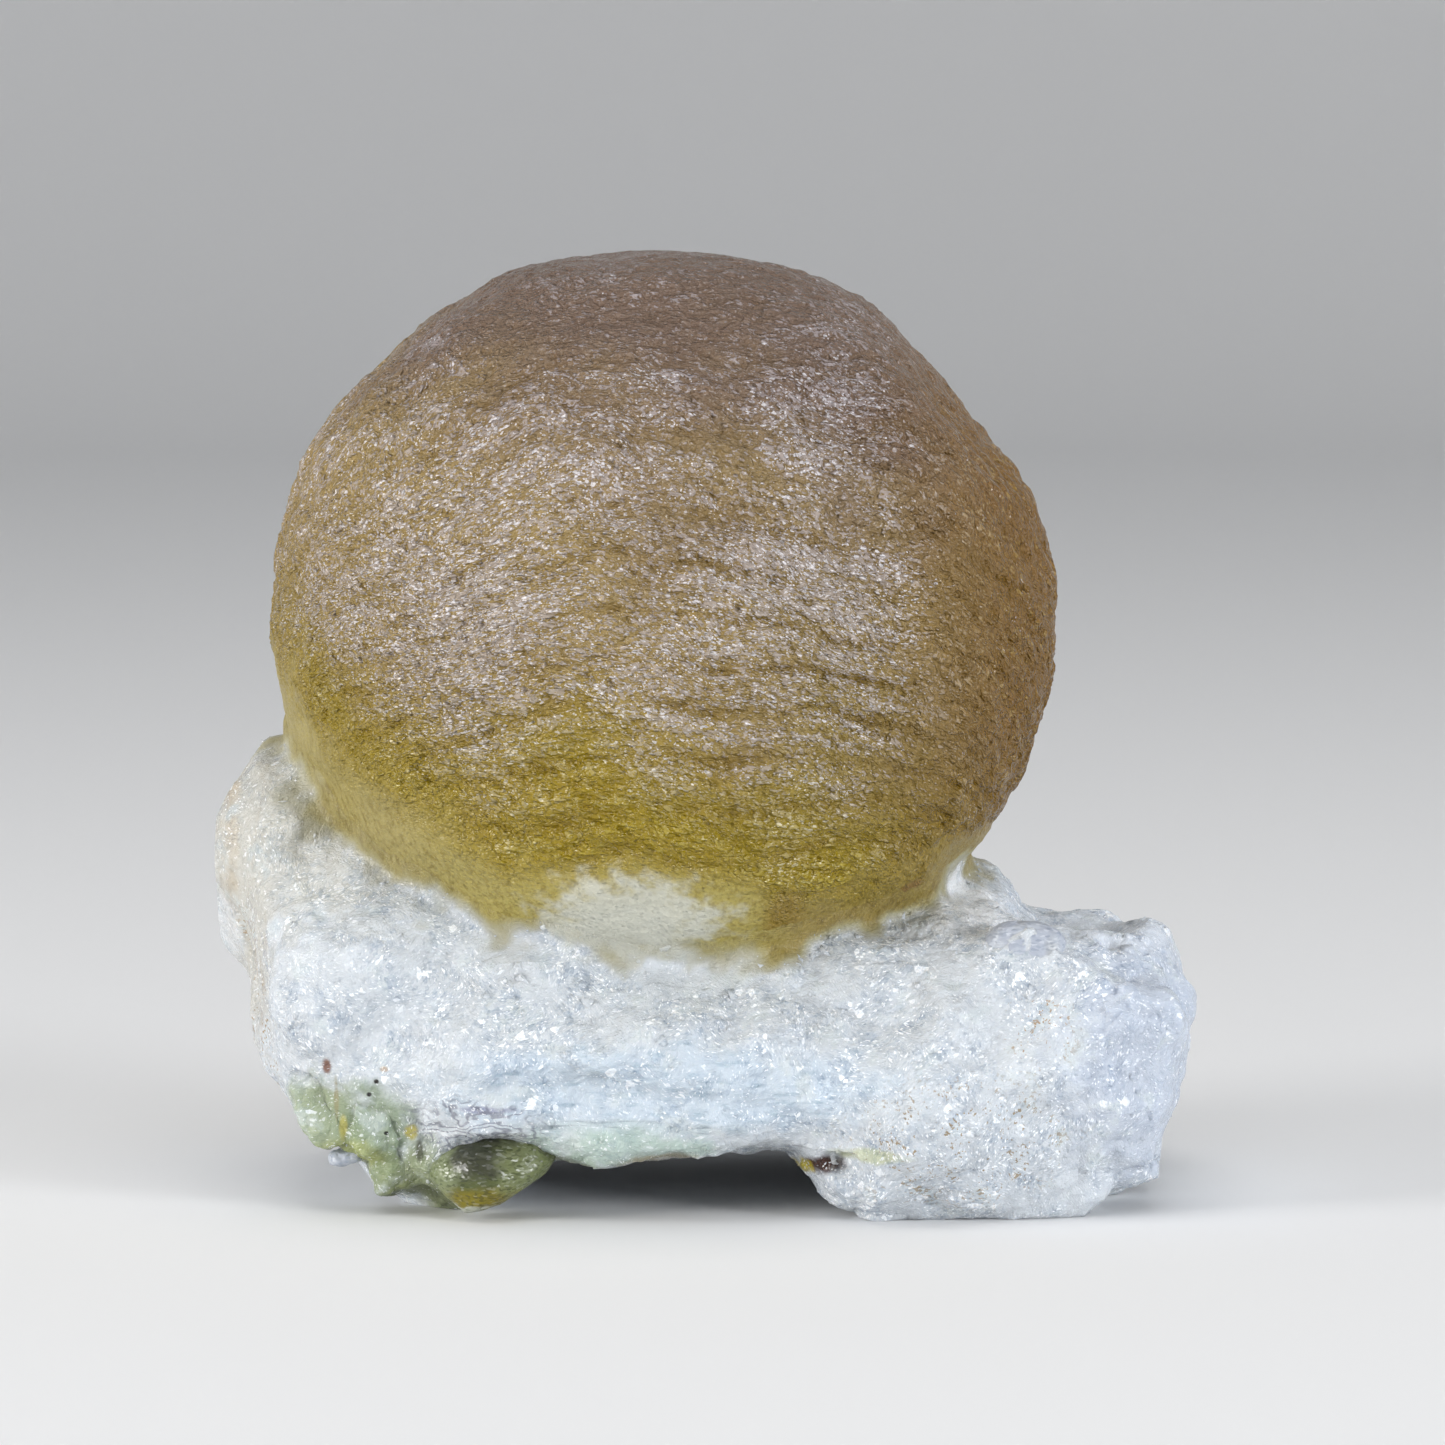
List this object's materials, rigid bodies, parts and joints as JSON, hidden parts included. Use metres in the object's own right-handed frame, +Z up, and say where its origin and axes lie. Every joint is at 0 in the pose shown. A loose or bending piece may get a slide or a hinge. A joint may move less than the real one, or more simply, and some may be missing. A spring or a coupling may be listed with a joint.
{
  "type": "botryoidal fluorite specimen",
  "caption": "Mineral hand specimen: a ripple-skinned globe of tan and olive fluorite seated in a rugged saddle of white drusy quartz that rests on flat feet.",
  "frame": {"origin": "on the surface that the specimen stands on, under the middle of its box", "axes": "+Z up, +X to the right of a viewer who faces the displayed side, -Y towards that viewer"},
  "size_m": [0.0394, 0.0316, 0.0374],
  "materials": {
    "fluorite": "satin",
    "quartz": "satin"
  },
  "bodies": {
    "root": {"fluorite_ball": "fluorite", "quartz_matrix": "quartz"}
  },
  "joints": []
}
